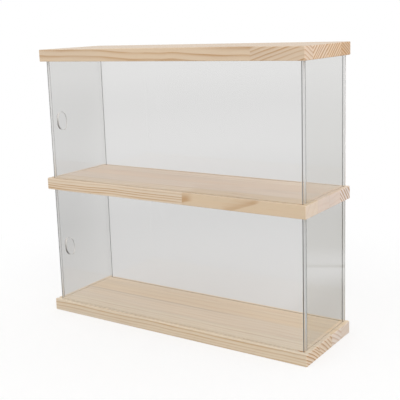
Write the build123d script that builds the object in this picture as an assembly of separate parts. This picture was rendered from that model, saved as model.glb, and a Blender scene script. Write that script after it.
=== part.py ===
from build123d import *
import os

# A two-tier display case: three pine boards with clear acrylic walls between
# them, and in front of each tier a clear door that slides out to the left.
# Millimetres. X runs to the right along the boards, Y to the back, Z up.
# The origin is the middle of the base board's underside.

# Boards
board_length = 400.0
board_depth = 125.0
board_thickness = 16.0
board_corner_radius = 2.0
board_easing = 1.0
tier_height = 162.0

# Acrylic sheet and the grooves that hold it
sheet_thickness = 3.0
sheet_arris = 0.3
groove_depth = 4.0
glue_clearance = 0.1
running_clearance = 0.3
cutter_overrun = 0.2

# Places of the sheets, measured in from the boards' edges
door_inset_front = 5.0
door_inset_left = 9.0
door_inset_right = 7.0
side_inset_end = 5.5
side_inset_front = 12.0
side_inset_back = 2.0
back_inset = 4.0
back_end_gap = 1.5

# Finger hole of a door, an upright slot near its left end
finger_hole_width = 16.0
finger_hole_height = 24.5
finger_hole_inset = 30.0

# Staves that each board is glued up from: the glue lines, measured in from the front edge
base_glue_lines = [34.5, 70.5, 98.5]
shelf_glue_lines = [31.5, 63.0, 94.0]
top_glue_lines = [20.0, 58.5, 96.5]
stave_names = ["front", "inner_front", "inner_rear", "rear"]

# Finger joints that join two lengths of wood end to end into one stave
shelf_finger_joint_x = 34.0
top_finger_joint_x = 135.5
finger_length = 8.0
finger_pitch = 4.0
finger_tip = 0.8

# Heights and edges that follow from the sizes above
front = -board_depth / 2
back = board_depth / 2
left = -board_length / 2
right = board_length / 2
tier_pitch = board_thickness + tier_height
door_groove_width = sheet_thickness + 2 * running_clearance
glued_groove_width = sheet_thickness + 2 * glue_clearance
door_plane = front + door_inset_front + sheet_thickness / 2
side_plane = right - side_inset_end - sheet_thickness / 2
back_plane = back - back_inset - sheet_thickness / 2
side_front = front + side_inset_front
side_back = back - side_inset_back


def board_blank(bottom):
    """One board with rounded corners and eased edges, standing on the height given."""
    outline = RectangleRounded(board_length, board_depth, board_corner_radius)
    blank = extrude(outline, board_thickness)
    rims = blank.edges().group_by(Axis.Z)
    blank = fillet(rims[0] + rims[-1], board_easing)
    return Pos(0, 0, bottom) * blank


def slot_cutter(start, end, width, floor, height):
    """The path of a round cutter from one point to another, as deep as the height."""
    path = SlotCenterToCenter((Vector(*end) - Vector(*start)).length, width)
    middle = (Vector(*start) + Vector(*end)) / 2
    turn = 90 if start[0] == end[0] else 0
    return Pos(middle.X, middle.Y, floor) * extrude(Rot(0, 0, turn) * path, height)


def groove_cutters(floor):
    """The four grooves of one tier, cut upward from the height given."""
    beyond = 2 * door_groove_width
    door = slot_cutter(
        (left - beyond, door_plane),
        (right - door_inset_right + cutter_overrun, door_plane),
        door_groove_width, floor, groove_depth,
    )
    rear = slot_cutter(
        (-side_plane, back_plane), (side_plane, back_plane),
        glued_groove_width, floor, groove_depth,
    )
    sides = [
        slot_cutter(
            (x, side_front - cutter_overrun), (x, back + beyond),
            glued_groove_width, floor, groove_depth,
        )
        for x in (-side_plane, side_plane)
    ]
    return [door, rear] + sides


def finger_comb(x, y_front, y_back):
    """The zigzag line of a finger joint, from the front of a stave to its back."""
    width = y_back - y_front
    count = round(width / finger_pitch)
    pitch = width / count
    near, far = x - finger_length / 2, x + finger_length / 2
    points = []
    for i in range(count):
        y = y_front + i * pitch
        points += [(near, y), (near, y + finger_tip)]
        points += [(far, y + pitch / 2), (far, y + pitch / 2 + finger_tip)]
    points.append((near, y_back))
    return points


def stave_outlines(y_front, y_back, joint_x):
    """The plan of a stave, or of its two lengths where a finger joint parts them."""
    if joint_x is None:
        return [Pos(0, (y_front + y_back) / 2) * Rectangle(board_length, y_back - y_front)]
    comb = finger_comb(joint_x, y_front, y_back)
    return [
        make_face(Polyline(comb + [(end, y_back), (end, y_front)], close=True).edges())
        for end in (left, right)
    ]


def board_staves(name, level, glue_lines, grooves_below, grooves_above, front_joint_x=None):
    """One glued-up board, parted into its staves, as a dictionary of named solids."""
    bottom = level * tier_pitch
    board = board_blank(bottom)
    if grooves_below:
        board -= groove_cutters(bottom)
    if grooves_above:
        board -= groove_cutters(bottom + board_thickness - groove_depth)
    lines = [front] + [front + line for line in glue_lines] + [back]
    staves = {}
    for i, stave_name in enumerate(stave_names):
        joint_x = front_joint_x if i == 0 else None
        outlines = stave_outlines(lines[i], lines[i + 1], joint_x)
        endings = [""] if joint_x is None else ["_left", "_right"]
        for outline, ending in zip(outlines, endings):
            prism = Pos(0, 0, bottom) * extrude(outline, board_thickness)
            staves[f"{name}_{stave_name}_stave{ending}"] = board & prism
    return staves


def polished_sheet(outline):
    """An upright sheet cut to an outline in the XZ plane, with the sharp arris of both faces taken off."""
    sheet = extrude(Plane.XZ * outline, sheet_thickness / 2, both=True)
    rims = sheet.edges().group_by(Axis.Y)
    return chamfer(rims[0] + rims[-1], sheet_arris)


def tier_sheets(name, level):
    """The clear walls of one tier, which stand on the groove floors and carry the next board."""
    height = tier_height + 2 * groove_depth
    middle = level * tier_pitch + board_thickness + tier_height / 2
    side = Rot(0, 0, 90) * polished_sheet(Rectangle(side_back - side_front, height))
    side_y = (side_front + side_back) / 2
    rear_length = 2 * (side_plane - sheet_thickness / 2 - back_end_gap)
    rear = polished_sheet(Rectangle(rear_length, height))
    return {
        f"{name}_left_panel": Pos(-side_plane, side_y, middle) * side,
        f"{name}_right_panel": Pos(side_plane, side_y, middle) * side,
        f"{name}_back_panel": Pos(0, back_plane, middle) * rear,
    }


def sliding_door(level):
    """The front sheet of one tier with its finger hole, free to run in its grooves."""
    door_left = left + door_inset_left
    door_right = right - door_inset_right
    length = door_right - door_left
    height = tier_height + 2 * (groove_depth - running_clearance)
    hole_x = left + finger_hole_inset - (door_left + door_right) / 2
    hole = Pos(hole_x, 0) * Rot(0, 0, 90) * SlotOverall(finger_hole_height, finger_hole_width)
    middle = level * tier_pitch + board_thickness + tier_height / 2
    sheet = polished_sheet(Rectangle(length, height) - hole)
    return Pos((door_left + door_right) / 2, door_plane, middle) * sheet


def display_case():
    """Every piece of the case under its name."""
    pieces = board_staves("base", 0, base_glue_lines, False, True)
    pieces |= board_staves("shelf", 1, shelf_glue_lines, True, True, shelf_finger_joint_x)
    pieces |= board_staves("top", 2, top_glue_lines, True, False, top_finger_joint_x)
    for level, tier in enumerate(["lower", "upper"]):
        pieces |= tier_sheets(tier, level)
        pieces[f"{tier}_door"] = sliding_door(level)
    return pieces


os.makedirs("parts", exist_ok=True)
for piece_name, piece in display_case().items():
    export_step(piece, f"parts/{piece_name}.step")
    print(piece_name, "volume", round(piece.volume / 1000, 2), "cm3")
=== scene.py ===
# %% [markdown]
# # A two-tier display case in pine and clear acrylic
# The real case is three pine boards, glued up from narrow staves, with clear acrylic walls
# standing in grooves between them. Each tier has a clear door that slides out to the left.
# The CAD model already has every piece at its real size, so nothing here is moved or reshaped.
# What is left for Blender is the finish: the wood, the clear sheet, the light and the camera.

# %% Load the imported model
import math

import bpy
from mathutils import Matrix, Vector


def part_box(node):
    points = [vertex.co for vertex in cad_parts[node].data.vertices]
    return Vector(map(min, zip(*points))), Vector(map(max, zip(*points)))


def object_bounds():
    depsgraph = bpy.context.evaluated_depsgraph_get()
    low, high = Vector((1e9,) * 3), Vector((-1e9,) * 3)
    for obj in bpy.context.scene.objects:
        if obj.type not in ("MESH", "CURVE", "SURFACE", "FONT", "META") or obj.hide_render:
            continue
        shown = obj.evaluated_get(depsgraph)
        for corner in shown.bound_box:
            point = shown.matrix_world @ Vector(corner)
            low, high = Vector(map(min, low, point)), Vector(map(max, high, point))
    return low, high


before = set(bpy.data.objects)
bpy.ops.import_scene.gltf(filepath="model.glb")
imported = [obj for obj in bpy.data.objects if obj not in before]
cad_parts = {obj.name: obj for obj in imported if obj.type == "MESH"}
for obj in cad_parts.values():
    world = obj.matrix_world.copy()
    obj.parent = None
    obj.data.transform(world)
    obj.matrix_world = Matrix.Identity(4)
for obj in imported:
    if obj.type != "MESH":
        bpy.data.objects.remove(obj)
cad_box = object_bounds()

print("case from", cad_box[0], "to", cad_box[1])

# %% [markdown]
# ## The camera
# The photograph was taken from the front right, a little above the case, with a long lens.
# The place and the angles were worked out from the corners of the three boards: each corner's
# real place and its place in the picture give one sight line, and only one camera fits them all.
# A camera could also be aimed by eye, but then the boards' perspective never quite agrees.
# The lens shift stands for a picture that was cropped off its centre afterwards.

# %% Set up the camera
MM = 0.001
SENSOR_WIDTH, LENS = 36.0, 72.14
LENS_SHIFT = (0.05325, -0.05775)
FAR_CLIP = 50
CAMERA_PLACE = Vector((590.6, -860.7, 402.6)) * MM
YAW, PITCH, ROLL = (math.radians(angle) for angle in (35.246, 10.945, -2.125))

ahead = Vector((-math.sin(YAW) * math.cos(PITCH), math.cos(YAW) * math.cos(PITCH), -math.sin(PITCH)))
level = Vector((math.cos(YAW), math.sin(YAW), 0))
upward = level.cross(ahead)
across = math.cos(ROLL) * level + math.sin(ROLL) * upward
upright = math.cos(ROLL) * upward - math.sin(ROLL) * level
facing_case = Matrix((across, upright, -ahead)).transposed().to_4x4()

camera = bpy.data.objects.new("camera", bpy.data.cameras.new("camera"))
bpy.context.scene.collection.objects.link(camera)
camera.matrix_world = Matrix.Translation(CAMERA_PLACE) @ facing_case
camera.data.sensor_width = SENSOR_WIDTH
camera.data.lens = LENS
camera.data.shift_x, camera.data.shift_y = LENS_SHIFT
camera.data.clip_end = FAR_CLIP
bpy.context.scene.camera = camera
print("camera looks along", [round(part, 3) for part in ahead])

# %% [markdown]
# ## Shader maths in plain Python
# A wood pattern is mostly arithmetic on a place in space, and wiring it up node by node is slow
# to read. This small class wraps one socket. An expression such as `1 - mask` adds the Math node
# that it stands for, and `node` adds any other kind: first its settings, then what goes into it.

# %% A socket that can be reckoned with
class Shade:
    """One output socket of a node tree, on which Python's operators add Math nodes."""

    def __init__(self, tree, socket=None):
        self.tree = tree
        self.socket = socket

    def node(self, kind, values=(), output=0, stops=None, **settings):
        """Add a node: its settings first, then a value or a link for each socket named."""
        made = self.tree.nodes.new(kind)
        for name, setting in settings.items():
            setattr(made, name, setting)
        for place, grey in stops or []:
            ramp = made.color_ramp.elements
            element = ramp[0] if place == 0 else ramp[-1] if place == 1 else ramp.new(place)
            element.color = (grey, grey, grey, 1)
        for name, value in dict(values).items():
            if isinstance(value, Shade):
                self.tree.links.new(value.socket, made.inputs[name])
            else:
                made.inputs[name].default_value = value
        return Shade(self.tree, made.outputs[output] if made.outputs else None)

    def maths(self, operation, *values):
        return self.node("ShaderNodeMath", enumerate(values), operation=operation)

    def __add__(self, other):
        return self.maths("ADD", self, other)

    __radd__ = __add__

    def __sub__(self, other):
        return self.maths("SUBTRACT", self, other)

    def __rsub__(self, other):
        return self.maths("SUBTRACT", other, self)

    def __mul__(self, other):
        return self.maths("MULTIPLY", self, other)

    __rmul__ = __mul__

    def __truediv__(self, other):
        return self.maths("DIVIDE", self, other)

    def __abs__(self):
        return self.maths("ABSOLUTE", self)


# %% [markdown]
# ## Places, masks and noise
# Every finish here asks the same questions: where on the case is this point, which way does it
# face, and is it inside some region? Object coordinates answer the first in the case's own frame,
# so a pattern stays on a door while the door slides. A mask is a number that is 1 inside its
# region and 0 outside, with a smooth step between the two, so that no border looks cut out. A
# named pair of numbers, such as `FAR_LEFT` below, says where a step begins and where it ends.
# Noise on top of a mask or a colour keeps it from looking drawn with a ruler.

# %% Helpers that every finish uses
def new_tree(name):
    """A material with an empty node tree, and a Shade to start wiring from."""
    material = bpy.data.materials.new(name)
    material.use_nodes = True
    material.node_tree.nodes.clear()
    return material, Shade(material.node_tree)


def surface_place(start):
    """Where a point of the surface is on the object, in millimetres, as three numbers."""
    place = start.node("ShaderNodeTexCoord", output="Object")
    return [start.node("ShaderNodeSeparateXYZ", {0: place}, output=i) / MM for i in range(3)]


def surface_facing(start):
    """How squarely a point of the surface faces X, Y and Z, each from 0 to 1."""
    normal = start.node("ShaderNodeTexCoord", output="Normal")
    return [abs(start.node("ShaderNodeSeparateXYZ", {0: normal}, output=i)) for i in range(3)]


def soft_noise(start, x, y, z, detail=1.0):
    """Smooth noise about 0, mostly between -1 and 1, at a place whose parts are shader values."""
    place = start.node("ShaderNodeCombineXYZ", {0: x, 1: y, 2: z})
    noise = start.node("ShaderNodeTexNoise", {"Vector": place, "Scale": 1.0, "Detail": detail})
    return (noise - 0.5) * 4


def ease(start, value, low, high):
    """0 below the low value, 1 above the high one, and a smooth step between them."""
    return start.node(
        "ShaderNodeMapRange", {"Value": value, "From Min": low, "From Max": high},
        interpolation_type="SMOOTHSTEP",
    )


def mix_colours(start, factor, first, second):
    """The first colour where the factor is 0, and the second where it is 1."""
    # For colours, a Mix node's inputs are numbers 6 and 7 and its output is number 2.
    return start.node("ShaderNodeMix", {0: factor, 6: first, 7: second}, output=2, data_type="RGBA")


# %% [markdown]
# ## Where the pieces stand
# The grooves, the finger holes and the feet of the sheets get a finish of their own, so the
# script has to know where they are. The CAD pieces themselves say it: a groove lies where its
# sheet stands. The numbers could be typed in, but a typed number is wrong as soon as a piece
# changes. Rounding takes off the last digits, which a mesh doesn't keep.

# %% Measure the pieces
def measured(piece):
    """The low and the high corner of a piece's box, in millimetres."""
    return [[round(part / MM, 3) for part in corner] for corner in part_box(piece)]


def middle_of(piece):
    """The middle of a piece's box, in millimetres."""
    return [round((low + high) / 2, 3) for low, high in zip(*measured(piece))]


BOARD_RIGHT, BOARD_BACK = [round(part / MM, 3) for part in cad_box[1][:2]]
BOARD_THICKNESS = measured("base_front_stave")[1][2]
DOOR_PLANE, BACK_PLANE = middle_of("lower_door")[1], middle_of("lower_back_panel")[1]
SIDE_PLANE = middle_of("lower_right_panel")[0]
TIER_PITCH = middle_of("upper_back_panel")[2] - middle_of("lower_back_panel")[2]
print("boards are", BOARD_THICKNESS, "mm thick, a tier is", TIER_PITCH, "mm high with its board")
print("sheets stand at Y", DOOR_PLANE, "and", BACK_PLANE, "and at X", -SIDE_PLANE, "and", SIDE_PLANE)

# %% [markdown]
# ## Pine: the age of the wood
# A softwood trunk lays down one ring a year: a wide pale band in spring, which darkens to a
# narrow orange-brown line in summer and stops at once. Every board face is a slice through
# those nested tubes. Sawn along them they are long lines, and sawn across them, at a board's
# end, they are arcs. If the tubes are described once in space, each face shows its own slice
# and the lines run round the corners, as they do on real wood. A flat picture of grain laid on
# each face could never meet itself at the edges.
#
# A board like this is glued up from staves of several trees, so each stave has tubes of its own:
# where the heart of the tree was, how wide the rings are, and how much the saw leaned from it.
# No trunk is quite round or straight, so its axis bends a little and its rings ripple. Each of
# these reads the noise at another place, so that no two of them move together.

# %% How old the tree was at each place
HEART_DISTANCE = 220.0
BEND = 1.3
BEND_LENGTH_Y, BEND_LENGTH_Z = 170, 130
RIPPLE = 0.14
RIPPLE_LENGTH, RIPPLE_WIDTH = 55, 30
UNEVEN_YEARS, UNEVEN_SPEED = 0.25, 0.45
NOISE_FOR_Y, NOISE_FOR_Z, NOISE_FOR_YEARS = 0.3, 7.7, 1.1


def heart_of_tree(stave):
    """Where the tree's axis passed the middle of a stave, in Y and Z."""
    slant = math.radians(stave["rings_face"])
    middle_y, middle_z = stave["middle"]
    return middle_y - HEART_DISTANCE * math.cos(slant), middle_z - HEART_DISTANCE * math.sin(slant)


def ring_age(start, place, stave):
    """The tree's age, in years, at a place in a stave: whole numbers are the ring lines."""
    x, y, z = place
    heart_y, heart_z = heart_of_tree(stave)
    seed = stave["seed"]
    bend_y = soft_noise(start, x / BEND_LENGTH_Y, seed, NOISE_FOR_Y) * BEND
    bend_z = soft_noise(start, x / BEND_LENGTH_Z, seed, NOISE_FOR_Z) * BEND
    from_y = y - heart_y - x * stave["lean"][0] - bend_y
    from_z = z - heart_z - x * stave["lean"][1] - bend_z
    radius = start.maths("SQRT", from_y * from_y + from_z * from_z)
    ripple = soft_noise(start, x / RIPPLE_LENGTH, y / RIPPLE_WIDTH + seed, z / RIPPLE_WIDTH)
    age = (radius + ripple * stave["ring"] * RIPPLE) / stave["ring"] + stave["first_year"]
    return age + soft_noise(start, age * UNEVEN_SPEED, seed, NOISE_FOR_YEARS) * UNEVEN_YEARS


sag = HEART_DISTANCE - math.sqrt(HEART_DISTANCE ** 2 - (BOARD_THICKNESS / 2) ** 2)
print("over a board's thickness a ring line sags by", round(sag, 2), "mm")

# %% [markdown]
# ## Pine: the lines
# Late wood is dark, and some years leave more of it than others. On a long face the cut runs
# almost along the rings, so a line is faint and comes and goes. In the end grain it is sharp and
# even. All the lines could be drawn alike, but then the wood looks like a stripe pattern. So each
# whole year gets a strength of its own from white noise, and a slow noise along the board lets
# the lines fade. A stretch where the photographed stave is plain is left plain, by `plain`.

# %% How strongly the late wood shows
RING_PROFILE = [(0.0, 0.0), (0.45, 0.08), (0.66, 0.45), (0.82, 1.0), (0.93, 0.95), (1.0, 0.0)]
FAINTEST_ON_FACES, FAINTEST_ON_ENDS = 0.4, 0.75
LOST_ON_TOP = 0.4
FADE_LENGTH, FADE_BY_YEAR, FADE_DEPTH = 60, 0.8, 0.4
PLAIN_BORDER = 15


def late_wood(start, place, facing, end_grain, stave):
    """How dark the ring lines are at a place, from 0 to about 1."""
    x = place[0]
    age = ring_age(start, place, stave)
    ring = start.node("ShaderNodeValToRGB", {0: start.maths("FRACT", age)}, stops=RING_PROFILE)
    year = start.node("ShaderNodeTexWhiteNoise", {"W": start.maths("FLOOR", age)}, noise_dimensions="1D")
    fading = 1 + soft_noise(start, x / FADE_LENGTH, age * FADE_BY_YEAR, stave["seed"]) * FADE_DEPTH
    for first, last in stave["plain"]:
        past_first = ease(start, x, first, first + PLAIN_BORDER)
        past_last = ease(start, x, last, last + PLAIN_BORDER)
        fading = fading * (1 - past_first * (1 - past_last))
    on_faces = FAINTEST_ON_FACES + year * (1 - FAINTEST_ON_FACES)
    on_faces = on_faces * (1 - facing[2] * LOST_ON_TOP) * fading * stave["lines"]
    on_ends = (FAINTEST_ON_ENDS + year * (1 - FAINTEST_ON_ENDS)) * stave["end_lines"]
    return ring * (on_faces + (on_ends - on_faces) * end_grain)


print("late wood is darkest at", max(RING_PROFILE, key=lambda stop: stop[1])[0], "of a year")

# %% [markdown]
# ## Pine: glue lines and grooves, with painted light and shade
# Where two staves meet, a thin dark line of glue shows. The grooves for the sheets are cut after
# the glueing, through all the staves. The walls of the doors' grooves and of the side panels' are
# painted pale, partly as newly cut wood and partly as painted light for the light that the sheets
# carry down into them. The back panel's groove lies in its own shadow, and its walls are painted
# dark in the glue's colour, as painted shade. Near the right end of a door's groove, where the
# cutter stopped, the walls are painted a darker brown. The walls could be marked as faces of their
# own, but a mask by place does it for all three boards at once, because the boards repeat from
# tier to tier. Its walls reach from a groove's middle to just past the wood.

# %% Masks for the grooves
BOARD_MIDDLE = BOARD_THICKNESS / 2
BELOW_SURFACE = (BOARD_MIDDLE - 0.4, BOARD_MIDDLE - 0.1)
DOOR_WALL, GLUED_WALL = (1.85, 2.0), (1.7, 1.9)
GROOVE_REACH_X = (BOARD_RIGHT - 1, BOARD_RIGHT - 0.5)
GROOVE_REACH_Y = (BOARD_BACK - 1.5, BOARD_BACK - 1)


def groove_walls(start, place):
    """Masks that are 1 on the walls of the grooves: a door's, the side panels', the back panel's."""
    x, y, z = place
    # Ping-pong folds the tiers together, so that one distance serves all three boards.
    from_board_middle = abs(start.maths("PINGPONG", z - BOARD_MIDDLE, TIER_PITCH / 2))
    sunk = 1 - ease(start, from_board_middle, *BELOW_SURFACE)
    inside = sunk * (1 - ease(start, abs(x), *GROOVE_REACH_X)) * (1 - ease(start, abs(y), *GROOVE_REACH_Y))
    at_door = 1 - ease(start, abs(y - DOOR_PLANE), *DOOR_WALL)
    at_side = (1 - ease(start, abs(abs(x) - SIDE_PLANE), *GLUED_WALL)) * (1 - at_door)
    at_back = (1 - ease(start, abs(y - BACK_PLANE), *GLUED_WALL)) * (1 - at_side)
    return inside * at_door, inside * at_side, inside * at_back


print("masks of the grooves:", 2 * DOOR_WALL[0], "and", 2 * GLUED_WALL[0], "mm wide")

# %% [markdown]
# A glue line is a millimetre wide at most. One stave of the base has more: a broad smear that
# was wiped along the joint. Both could be raised a little, but glue that is sanded flush has no
# height, so they are colour only.

# %% What was done to the wood
GLUE_AND_PAINTED_SHADE = (0.36, 0.22, 0.11, 1)
FRESH_AND_LIT_WOOD = (0.88, 0.78, 0.64, 1)
GROOVE_END_BROWN = (0.62, 0.32, 0.12, 1)
GLUE_WIDTH, GLUE_SHARE = (0.1, 0.5), 0.2
SMEAR_WIDTH, SMEAR_END = (1.0, 3.5), (20, 90)
GROOVE_END_FROM = (BOARD_RIGHT - 16, BOARD_RIGHT - 13)
BACK_GROOVE_PAINTED_SHADE, SIDE_FRESH_AND_LIT = 0.8, 0.9


def glue_mask(start, place, end_grain, stave):
    """How much glue shows along the stave's two long edges, with a broad smear where it has one."""
    x, y, z = place
    to_front, to_back = [abs(y - edge) for edge in stave["edges"]]
    smear = (1 - ease(start, to_back, *SMEAR_WIDTH)) * (1 - ease(start, x, *SMEAR_END)) * (1 - end_grain)
    line = 1 - ease(start, start.maths("MINIMUM", to_front, to_back), *GLUE_WIDTH)
    return start.maths("MAXIMUM", line * GLUE_SHARE, smear * stave["broad_glue"])


def worked_wood(start, place, end_grain, wood, stave):
    """The wood's colour with its glue lines, its grooves' painted light and shade, and a browner end of a
    door's groove.
    """
    door_groove, side_groove, back_groove = groove_walls(start, place)
    glue = glue_mask(start, place, end_grain, stave)
    # The back groove's walls take the glue's dark colour as painted shade.
    wood = mix_colours(start, start.maths("MAXIMUM", glue, back_groove * BACK_GROOVE_PAINTED_SHADE), wood, GLUE_AND_PAINTED_SHADE)
    # Door and side groove walls are painted pale: newly cut wood, and painted light for what the sheets
    # carry in.
    fresh_and_lit = start.maths("MAXIMUM", door_groove * stave["fresh_and_lit_groove"], side_groove * SIDE_FRESH_AND_LIT)
    wood = mix_colours(start, fresh_and_lit, wood, FRESH_AND_LIT_WOOD)
    # A door groove's walls are painted browner near its right end.
    groove_end_brown = door_groove * ease(start, place[0], *GROOVE_END_FROM)
    return mix_colours(start, groove_end_brown, wood, GROOVE_END_BROWN)


# %% [markdown]
# ## Pine: the whole finish
# Between the ring lines the wood has fibres, fine dark flecks of resin and slow changes of tone,
# all drawn out along the board. In the end grain the fibres are seen as open pores instead. The
# case is sanded and unlacquered, so it shines little, and the late wood stands up by a hair.
# All of this could be one noise, but each has a size and a strength of its own on real wood.
# The numbers in the sums below say how much each one counts.

# %% How one stave of pine is coloured
EARLY_WOOD = (0.76, 0.61, 0.45, 1)
LATE_WOOD = (0.48, 0.265, 0.11, 1)
FIBRE_SIZE, FLECK_SIZE = (45, 1.4, 1.4), (9, 0.45, 0.45)
CLOUD_SIZE, PORE_SIZE = (190, 22, 12), (1, 0.35, 0.35)
RESIN_FLECKS, RESIN_SHARE = (1.15, 1.6), 0.35
END_GRAIN = (0.5, 0.9)
RELIEF, RELIEF_HEIGHT = 0.35, 0.25 * MM


def drawn_out(start, place, size, seed, detail):
    """Soft noise with spots of the size given, in millimetres along X, Y and Z."""
    x, y, z = [part / length for part, length in zip(place, size)]
    return soft_noise(start, x, y + seed, z, detail=detail)


def pine(name, stave):
    """The material of one stave, from where it grew in its tree."""
    material, start = new_tree(name)
    place = surface_place(start)
    facing = surface_facing(start)
    end_grain = ease(start, facing[0], *END_GRAIN)
    late = late_wood(start, place, facing, end_grain, stave)
    fibre = drawn_out(start, place, FIBRE_SIZE, stave["seed"], 3)
    fleck = drawn_out(start, place, FLECK_SIZE, stave["seed"], 2)
    cloud = drawn_out(start, place, CLOUD_SIZE, stave["seed"], 2)
    pores = drawn_out(start, place, PORE_SIZE, 0, 1) * end_grain
    resin = ease(start, fleck, *RESIN_FLECKS) * RESIN_SHARE

    grain = late + fibre * 0.14 + pores * 0.08 + resin
    tone = mix_colours(start, end_grain, (*stave["tone"], 1), (*stave["end_tone"], 1))
    wood = mix_colours(start, grain, EARLY_WOOD, LATE_WOOD)
    wood = start.node("ShaderNodeVectorMath", {0: wood, 1: tone}, operation="MULTIPLY")
    wood = start.node(
        "ShaderNodeHueSaturation",
        {"Color": wood, "Value": 1 + cloud * 0.04 + fibre * 0.03, "Saturation": 1 + cloud * 0.06},
    )
    height = late * 0.5 + fibre * 0.25 + fleck * 0.15 - resin * 0.6
    bump = start.node("ShaderNodeBump", {"Height": height, "Strength": RELIEF, "Distance": RELIEF_HEIGHT})
    finished = start.node(
        "ShaderNodeBsdfPrincipled",
        {"Base Color": worked_wood(start, place, end_grain, wood, stave),
         "Roughness": 0.5 + fibre * 0.06 - late * 0.08 + end_grain * 0.12,
         "Normal": bump},
    )
    start.node("ShaderNodeOutputMaterial", {"Surface": finished})
    return material


# %% [markdown]
# ## Where each stave grew
# The right ends of the boards show which way the rings run in each stave, and the fronts show
# how far apart their lines are. `rings_face` is the direction, in degrees from +Y towards +Z,
# in which the tree grew outward there, and `ring` is a year's growth in millimetres. `lean` is
# how far the tree's axis climbs in Y and Z for each millimetre along the board: a strong lean
# draws the rings out into long slanting lines, such as the one streak in the shelf's front.
# Two staves have a line that the eye knows them by, so `line_at` names a place that it passes
# through, and `line_year` the year whose noise gives it the right strength.
#
# `lines` and `end_lines` say how strong the rings are on the long faces and on the ends, `tone`
# and `end_tone` what the wood's colour is multiplied by there, and `fresh_and_lit_groove` and
# `broad_glue` how much of a door groove's pale walls, newly cut wood and painted light, and of
# the smeared glue shows. One recipe for all the wood would be shorter, but it is by tone and
# lines that staves are told apart.

# %% Describe the staves
STAVES = {
    "base_front_stave": dict(
        rings_face=58, ring=3.7, lines=0.8, end_lines=1.4, lean=(0, 0.004),
        tone=(1.025, 1.10, 1.16), end_tone=(1.07, 1.09, 1.15), fresh_and_lit_groove=0.7),
    "base_inner_front_stave": dict(
        rings_face=53, ring=5.0, lines=0.4, end_lines=1.0, lean=(0.004, 0),
        tone=(1.02, 1.07, 1.13), end_tone=(1.05, 1.08, 1.16), broad_glue=0.4),
    "base_inner_rear_stave": dict(
        rings_face=60, ring=5.5, lines=0.45, end_lines=0.65, lean=(0.01, 0.005),
        tone=(1.04, 1.05, 1.03), end_tone=(1.06, 1.14, 1.36)),
    "base_rear_stave": dict(
        rings_face=100, ring=4.0, lines=0.5, end_lines=0.65, lean=(-0.008, 0),
        tone=(1.08, 1.10, 1.10), end_tone=(1.05, 1.14, 1.36)),
    "shelf_front_stave_left": dict(
        rings_face=68, ring=3.4, lines=1.1, end_lines=0.9, lean=(0, -0.003),
        tone=(1.05, 1.10, 1.15), end_tone=(1.05, 1.10, 1.15), fresh_and_lit_groove=0.3),
    "shelf_front_stave_right": dict(
        rings_face=-20, ring=13.0, lines=0.78, end_lines=0.15, lean=(0, 0.42),
        line_at=(53.5, -62.5, 185.8), line_year=26, plain=[(34, 80), (132, 300)],
        tone=(0.94, 0.93, 0.895), end_tone=(1.03, 1.06, 1.17), fresh_and_lit_groove=0.3),
    "shelf_inner_front_stave": dict(
        rings_face=88, ring=7.0, lines=0.3, end_lines=0.15, lean=(0.01, 0.012),
        tone=(1.04, 1.08, 1.19), end_tone=(1.00, 1.03, 1.20)),
    "shelf_inner_rear_stave": dict(
        rings_face=95, ring=6.0, lines=0.3, end_lines=0.15, lean=(0.01, -0.01),
        tone=(1.05, 1.055, 1.12), end_tone=(1.00, 1.03, 1.21)),
    "shelf_rear_stave": dict(
        rings_face=41, ring=4.8, lines=0.9, end_lines=1.8, lean=(0.006, 0),
        tone=(1.14, 1.20, 1.32), end_tone=(1.08, 1.20, 1.55)),
    "top_front_stave_left": dict(
        rings_face=82, ring=9.2, lines=1.1, end_lines=1.0, lean=(0, -0.03),
        line_at=(-65, -62.5, 369.5), line_year=25,
        tone=(0.98, 0.965, 0.94), end_tone=(1.04, 1.06, 1.08), fresh_and_lit_groove=0.3),
    "top_front_stave_right": dict(
        rings_face=70, ring=4.6, lines=0.8, end_lines=0.8, lean=(0.02, 0.3),
        tone=(0.945, 0.93, 0.925), end_tone=(1.08, 1.05, 1.09), fresh_and_lit_groove=0.3),
    "top_inner_front_stave": dict(
        rings_face=128, ring=4.1, lines=0.9, end_lines=1.5, lean=(0.005, 0),
        tone=(0.98, 1.01, 1.08), end_tone=(1.11, 1.08, 1.11)),
    "top_inner_rear_stave": dict(
        rings_face=130, ring=4.3, lines=1.0, end_lines=1.6, lean=(-0.004, 0),
        tone=(0.98, 1.00, 1.05), end_tone=(1.10, 1.04, 1.00)),
    "top_rear_stave": dict(
        rings_face=60, ring=3.6, lines=0.9, end_lines=1.5, lean=(0.003, 0),
        tone=(0.98, 0.99, 1.02), end_tone=(0.98, 0.87, 0.76)),
}
UNLESS_SAID = dict(fresh_and_lit_groove=0, broad_glue=0, plain=())
print("staves described:", len(STAVES))

# %% [markdown]
# ## From the table to the boards
# Each stave's own noise starts at another seed, so that no two look alike. One material could
# serve them all, with the stave found by its place, but a material for each is easier to read.
# A stave's middle, for the heart of its tree, and its long edges, for the glue, are measured.

# %% Make the pine of every stave
LINE_BEFORE_YEAR_END = 0.1
FIRST_SEED, SEED_STEP = 0.4, 3.7


def first_year(stave):
    """The age to add so that a ring line passes through the stave's `line_at`, if it names one."""
    if "line_at" not in stave:
        return stave["seed"]
    x, y, z = stave["line_at"]
    heart_y, heart_z = heart_of_tree(stave)
    radius = math.hypot(y - heart_y - x * stave["lean"][0], z - heart_z - x * stave["lean"][1])
    return stave["line_year"] - LINE_BEFORE_YEAR_END - radius / stave["ring"]


def wear(piece, material):
    """Give every material slot of a piece one material."""
    for slot in bpy.data.objects[piece].material_slots:
        slot.material = material


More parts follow.
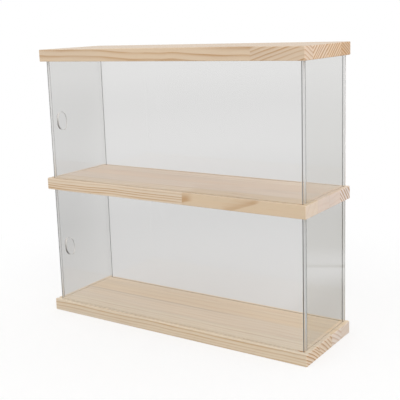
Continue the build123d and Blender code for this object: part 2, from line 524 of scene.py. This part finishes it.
for number, (node, described) in enumerate(STAVES.items()):
    low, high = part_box(node)
    stave = UNLESS_SAID | described
    stave["middle"] = ((low[1] + high[1]) / 2 / MM, (low[2] + high[2]) / 2 / MM)
    stave["edges"] = (low[1] / MM, high[1] / MM)
    stave["seed"] = SEED_STEP * number + FIRST_SEED
    stave["first_year"] = first_year(stave)
    wear(node, pine("pine_" + node, stave))
    print(node, "is", round(stave["edges"][1] - stave["edges"][0], 1), "mm wide")

# %% [markdown]
# ## Clear acrylic
# Light bends as it goes in and out of the sheet. Through the two flat faces it comes out as it
# went in, so they nearly vanish, while the cut edges, which it meets from inside, turn dark.
# That is how the eye finds the sheet at all. A Principled shader with full transmission and
# acrylic's refractive index of 1.49 does this.
# The side panels are tinted darker than the door and the back panel: the eye looks through them at a
# slant, and their tint is painted shade on what shows behind them.
#
# The cut edges are sawn and only half polished, so they are given a dull grey, set for each tier
# and kind of sheet as painted light and shade: darker in the lower tier, dark on the doors and
# nearly black on the back panels. It is paler on the narrow arris, as a painted highlight, turns
# from light to dark round a finger hole, as painted light and shade, and picks up the colour of
# the board near a side panel's foot, as a painted reflection. The edges could be left to the glass
# alone, which suits polished sheet, but then they show only what the light happens to bring.

# %% The colour of the sawn edges
# Edge greys differ by tier and kind of sheet as painted light and shade.
EDGE_GREY_AND_SHADE = {
    "upper side": 0.8, "upper back": 0.1, "upper door": 0.2,
    "lower side": 0.65, "lower back": 0.04, "lower door": 0.12,
}
ARRIS_HIGHLIGHT_GREY, EDGE_BLUE = 0.85, 0.985
SAW_MARK_SIZE, SAW_MARKS = 0.8, 0.08
HOLE_FROM_DOOR_END = 21
HOLE_X, HOLE_HEIGHT = measured("lower_door")[0][0] + HOLE_FROM_DOOR_END, middle_of("lower_door")[2]
HOLE_REACH, HOLE_TURN_X, HOLE_TURN_Z = (9, 10), 0.2, 0.13
HOLE_SHADE_GREY, HOLE_SHADE_CONTRAST = 0.6, 0.45
WOOD_REFLECTED_IN_EDGE, REFLECTED_WOOD_REACH = (0.66, 0.56, 0.44, 1), (5, 40)
WOOD_REFLECTION_SHARE = {"side": 0.6, "back": 0.0, "door": 0.0}


def edge_colour(start, tier, kind, cut_edge, saw_marks):
    """The grey of a sheet's cut edges, as painted shade, with a painted highlight on the arris, painted
    light and shade round a finger hole and the board's painted reflection near a foot.
    """
    x, y, z = surface_place(start)
    # Wrap starts the height again at the foot of each tier's board.
    in_tier = start.maths("WRAP", z, TIER_PITCH, 0)
    in_hole = 1 - ease(start, abs(x - HOLE_X), *HOLE_REACH)
    # Round a finger hole the grey runs from light to dark: painted light and shade on the hole's walls.
    painted_hole_shade = (start.maths("SINE", (x - HOLE_X) * HOLE_TURN_X)
              * start.maths("SINE", (in_tier - HOLE_HEIGHT) * HOLE_TURN_Z))
    shaded_hole_grey = HOLE_SHADE_GREY - painted_hole_shade * HOLE_SHADE_CONTRAST
    grey = EDGE_GREY_AND_SHADE[f"{tier} {kind}"] * (1 - in_hole) + shaded_hole_grey * in_hole
    # Where the edge turns into a face it is paler: a painted highlight.
    grey = (ARRIS_HIGHLIGHT_GREY + (grey - ARRIS_HIGHLIGHT_GREY) * cut_edge) * (1 + saw_marks * SAW_MARKS)
    edge = start.node("ShaderNodeCombineColor", {0: grey, 1: grey, 2: grey * EDGE_BLUE})
    # Near a side panel's foot the edge takes the board's colour: a painted reflection of the board.
    board_reflection = (1 - ease(start, in_tier - BOARD_THICKNESS, *REFLECTED_WOOD_REACH)) * WOOD_REFLECTION_SHARE[kind]
    return mix_colours(start, board_reflection, edge, WOOD_REFLECTED_IN_EDGE)


print("finger holes are at X", HOLE_X, "and", HOLE_HEIGHT, "mm above the foot of their tier's board")

# %% [markdown]
# ## Light through the sheets
# A lamp's light can't find its way through a refracting sheet by chance, so a case made of
# such sheets would be dark and noisy inside. For shadow rays, and for light on its way from
# one dull surface to another, the sheet is therefore simply see-through. Only the camera's own
# rays, and the mirrored and bent rays that they turn into, meet the real glass. The glass could
# be left out altogether, but then the sheets lose their dark edges and their reflections.

# %% Make the acrylic and give it to the sheets
# The side panels' darker tint is painted shade on what shows through them.
SHEET_TINT = {
    "side": (0.93, 0.927, 0.915, 1), "back": (0.985, 0.983, 0.98, 1), "door": (0.985, 0.983, 0.98, 1),
}
CUT_EDGE = (0.15, 0.6)
SAWN_SHARE = {"side": 0.88, "back": 0.97, "door": 0.93}
SAWN_ROUGHNESS = 0.35
PASSED_LIGHT = (0.97, 0.97, 0.97, 1)
ACRYLIC_INDEX = 1.49
SHEETS = {"side": ("left_panel", "right_panel"), "back": ("back_panel",), "door": ("door",)}


def clear_acrylic(tier, kind):
    """Clear sheet for one tier's side panels, its back panel or its door."""
    material, start = new_tree(f"acrylic_{tier}_{kind}")
    clear = start.node(
        "ShaderNodeBsdfPrincipled",
        {"Base Color": SHEET_TINT[kind], "Roughness": 0.0, "Transmission Weight": 1.0,
         "IOR": ACRYLIC_INDEX},
    )
    saw_marks = soft_noise(start, *[part / SAW_MARK_SIZE for part in surface_place(start)], detail=2)
    cut_edge = ease(start, 1 - surface_facing(start)[0 if kind == "side" else 1], *CUT_EDGE)
    sawn = start.node(
        "ShaderNodeBsdfPrincipled",
        {"Base Color": edge_colour(start, tier, kind, cut_edge, saw_marks),
         "Roughness": SAWN_ROUGHNESS + saw_marks * SAW_MARKS},
    )
    sheet = start.node(
        "ShaderNodeMixShader", {0: cut_edge * SAWN_SHARE[kind], 1: clear, 2: sawn},
    )
    through = start.node("ShaderNodeBsdfTransparent", {"Color": PASSED_LIGHT})
    for light in ("Is Shadow Ray", "Is Diffuse Ray"):
        ray = start.node("ShaderNodeLightPath", output=light)
        sheet = start.node("ShaderNodeMixShader", {0: ray, 1: sheet, 2: through})
    start.node("ShaderNodeOutputMaterial", {"Surface": sheet})
    return material


for tier in ("lower", "upper"):
    for kind, sheets in SHEETS.items():
        material = clear_acrylic(tier, kind)
        for sheet in sheets:
            wear(f"{tier}_{sheet}", material)
print("kinds of sheet finished:", 2 * len(SHEETS))

# %% [markdown]
# ## What the camera sees as white
# The case stands on a plain pale floor that runs out of sight, under a pale sky and two large
# soft lamps, as for a catalogue picture. The picture's ground is white. That whiteness is given
# only to what the camera sees: in full where it looks straight at the floor, and in part where
# it sees the floor mirrored in a sheet or through one. It puts hardly any light on the wood.
# A brighter floor would be simpler, but it would wash out the boards' undersides.

# %% Whiteness by the kind of ray
MIRRORED = 0.6
THROUGH_SHEET = 0.31


def seen_by_camera(start, mirrored, through_sheet):
    """How white a thing is for the camera, and masks of what it sees mirrored and through sheet."""
    kinds = ("Is Camera Ray", "Is Glossy Ray", "Is Transmission Ray")
    straight, glossy, through = [start.node("ShaderNodeLightPath", output=kind) for kind in kinds]
    in_sheet, in_mirror = glossy * through, glossy * (1 - through)
    return straight + in_mirror * mirrored + in_sheet * through_sheet, in_mirror, in_sheet


# %% [markdown]
# ## The floor
# Nearly all that is seen through the case is floor, and nearly all that its right side mirrors is
# floor further right, so the greys of the clear walls come from here. A whole studio could be built
# for them to show, but a few soft masks on one plane are quicker to tune. Near the case the
# floor keeps part of its own shading, so that the case's soft shadow stays on it.

# %% Lay the floor
FLOOR_SIZE = 14
SHADOW_KEPT, SHADOW_REACH = 0.35, (250, 600)

for placed in bpy.context.selected_objects:
    placed.select_set(False)
bpy.ops.mesh.primitive_plane_add(size=FLOOR_SIZE, location=(0, 0, cad_box[0][2]))
floor = bpy.context.object
floor.name = "floor"
floor_paint, start = new_tree("floor_paint")
x, y, z = surface_place(start)
from_case = start.maths("SQRT", x * x + y * y)
shadow = (1 - ease(start, from_case, *SHADOW_REACH)) * SHADOW_KEPT
print("floor is", FLOOR_SIZE, "m wide")

# %% [markdown]
# Two kinds of place matter, and both carry painted light and shade. Through the sheets the eye
# sees the floor beside and behind the case, which gets lighter with its distance, is painted
# lighter again close behind, and is painted darker to the far left. The right side mirrors the
# floor along a line of its own, where a ramp of stops gives how bright it is from 0 to 1 m out.
# It is a painted reflection, seen only in the mirror: it stands for the end of the table in the
# studio, with the dark line that the lower right panel mirrors.

# %% Whiten the floor where the camera sees it
METRE = 1000
MIRRORED_SIGHT = (0.46, 0.888)
REFLECTED_TABLE_END = [
    (0, 0), (0.31, 0), (0.35, 0.25), (0.39, 0.6), (0.415, 0.6), (0.421, 0), (0.431, 0), (0.437, 0.35),
    (0.46, 0.4), (0.54, 0), (0.8, 0), (1, 0.25),
]
FAR_RIGHT, FAR_SHEET, NEAR_CASE = 0.45, 0.14, 0.35
NEAR_FLOOR, FAR_FLOOR, BEYOND_RAMP = (400, 1700), (1700, 6000), (1.0, 4.0)
RIGHT_OF_CASE, CLOSE_BEHIND, TO_THE_RIGHT = (190, 215), (100, 650), (60, 140)

to_right = (x * MIRRORED_SIGHT[0] + y * MIRRORED_SIGHT[1]) / METRE
# Painted reflection: how bright the floor is in the mirror along the right side's line of sight.
reflected_table_end = start.node("ShaderNodeValToRGB", {0: to_right}, stops=REFLECTED_TABLE_END)
reflected_table_end = reflected_table_end + ease(start, to_right, *BEYOND_RAMP) * FAR_RIGHT
right_of_case = ease(start, x, *RIGHT_OF_CASE)
# Painted light: close behind the case the floor seen through the sheets is made whiter.
behind = (1 - ease(start, from_case, *CLOSE_BEHIND)) * (1 - ease(start, x, *TO_THE_RIGHT))
through_sheet = (ease(start, from_case, *NEAR_FLOOR) * THROUGH_SHEET
                 + ease(start, from_case, *FAR_FLOOR) * FAR_SHEET + behind * NEAR_CASE)
whiteness, in_mirror, in_sheet = seen_by_camera(
    start, MIRRORED + (reflected_table_end - MIRRORED) * right_of_case, through_sheet,
)
print("the table's end has", len(REFLECTED_TABLE_END), "stops over", REFLECTED_TABLE_END[-1][0], "m")

# %% [markdown]
# What isn't white by then is ordinary dull paint. Its greys are the floor's own, the darker
# greys, painted shade, that the sheets show near and to the far left, and the brown of the
# painted reflection beyond the end of the table. One grey would be simpler, but then what shows
# through the left wall comes out too light.

# %% Paint the floor
FLOOR_GREYS = (0.78, 0.78, 0.775, 1), (0.8, 0.8, 0.8, 1)
SEEN_GREYS = (0.72, 0.72, 0.72, 1), (0.61, 0.61, 0.61, 1)
REFLECTED_BEYOND_TABLE = (0.3, 0.27, 0.18, 1)
WHITE = (1, 1, 1, 1)
MOTTLE_SIZE = 400
CAMERA_LEFT, FAR_LEFT = (-0.766, -0.643), (80, 215)

far_left = ease(start, x * CAMERA_LEFT[0] + y * CAMERA_LEFT[1], *FAR_LEFT)
mottle = soft_noise(start, x / MOTTLE_SIZE, y / MOTTLE_SIZE, 0.5, detail=3)
paint = mix_colours(start, 0.5 + mottle * 0.5, *FLOOR_GREYS)
# Painted shade: the sheets show the floor in darker greys, darkest to the far left.
paint = mix_colours(start, in_sheet, paint, mix_colours(start, far_left, *SEEN_GREYS))
# Painted reflection: beyond the table's end the mirror shows brown.
paint = mix_colours(start, in_mirror * right_of_case * (1 - reflected_table_end), paint, REFLECTED_BEYOND_TABLE)
camera_ray = start.node("ShaderNodeLightPath", output="Is Camera Ray")
dull = start.node("ShaderNodeBsdfDiffuse", {"Color": mix_colours(start, camera_ray, paint, WHITE)})
white = start.node("ShaderNodeEmission", {"Color": WHITE, "Strength": 1.0})
shown = start.node("ShaderNodeMixShader", {0: whiteness * (1 - shadow), 1: dull, 2: white})
start.node("ShaderNodeOutputMaterial", {"Surface": shown})
floor.data.materials.append(floor_paint)
print("floor painted with", len(floor_paint.node_tree.nodes), "nodes")

# %% [markdown]
# ## The sky
# The sky lights the case evenly from all sides, as the white walls of a studio do. Its light is
# a little below white, but the camera sees it as white as the floor. A picture of a real studio
# could light the case too, but it would put its own windows and lamps into the clear sheets.

# %% Make the sky
SKY_LIGHT = 0.85

sky = bpy.data.worlds.new("studio_sky")
bpy.context.scene.world = sky
sky.use_nodes = True
sky.node_tree.nodes.clear()
start = Shade(sky.node_tree)
sky_whiteness = seen_by_camera(start, MIRRORED, THROUGH_SHEET)[0]
sky_colour = mix_colours(start, sky_whiteness, (SKY_LIGHT, SKY_LIGHT, SKY_LIGHT, 1), WHITE)
backdrop = start.node("ShaderNodeBackground", {"Color": sky_colour, "Strength": 1.0})
start.node("ShaderNodeOutputWorld", {"Surface": backdrop})
print("sky light:", SKY_LIGHT)

# %% [markdown]
# ## The lamps
# Two large square lamps model the shapes: a key lamp from the right, which falls most squarely on
# the boards' right ends, and a weaker one from the left that keeps the fronts open.
# A single small lamp would do for the light, but its shadows are hard. A lamp's size is what
# softens them, so both are wider than the case itself.

# %% Hang the lamps
LAMPS = {
    "key_lamp": dict(place=(1.7, -1.1, 1.5), size=1.4, power=11.0),
    "fill_lamp": dict(place=(-1.2, -1.8, 1.3), size=1.6, power=7.0),
}
AIM = Vector((0, 0, 0.18))
for name, setting in LAMPS.items():
    lamp = bpy.data.lights.new(name, "AREA")
    lamp.shape = "SQUARE"
    lamp.size = setting["size"]
    lamp.energy = setting["power"]
    stand = bpy.data.objects.new(name, lamp)
    bpy.context.scene.collection.objects.link(stand)
    stand.location = setting["place"]
    to_case = AIM - Vector(setting["place"])
    stand.rotation_euler = to_case.to_track_quat("-Z", "Y").to_euler()
    print(name, "is", round(to_case.length, 2), "m from the case")

bpy.context.scene.view_settings.view_transform = "Standard"
